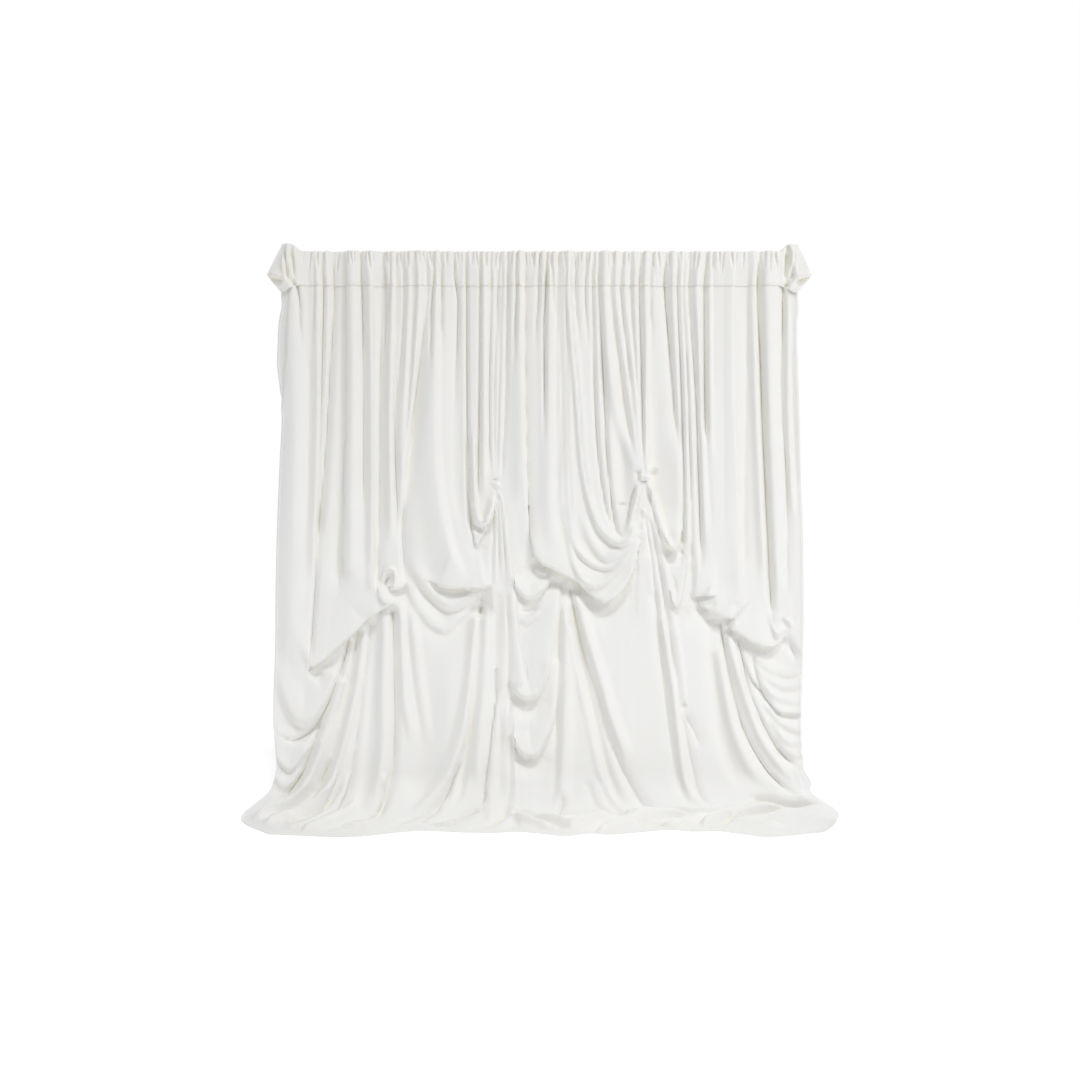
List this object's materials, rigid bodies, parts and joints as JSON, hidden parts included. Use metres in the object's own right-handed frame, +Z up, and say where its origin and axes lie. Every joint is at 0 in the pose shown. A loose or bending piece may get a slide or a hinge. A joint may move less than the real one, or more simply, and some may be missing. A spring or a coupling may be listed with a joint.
{
  "type": "draped backdrop curtain",
  "caption": "Off-white stretch cloth backdrop gathered on a rod pocket, caught up in swags and pooled on the floor.",
  "frame": {"origin": "middle of the rod line, halfway between the two ends of the pocket", "axes": "+X along the rod to the right as seen from the front, -Y the front, +Z up"},
  "size_m": [2.5523, 0.5116, 2.5172],
  "materials": {
    "pocket_cloth": "soft matt knit, doubled in the pocket",
    "panel_cloth": "soft matt knit, slightly satin"
  },
  "bodies": {
    "root": {"rod_pocket": "pocket_cloth", "drape_panel": "panel_cloth"}
  },
  "joints": []
}
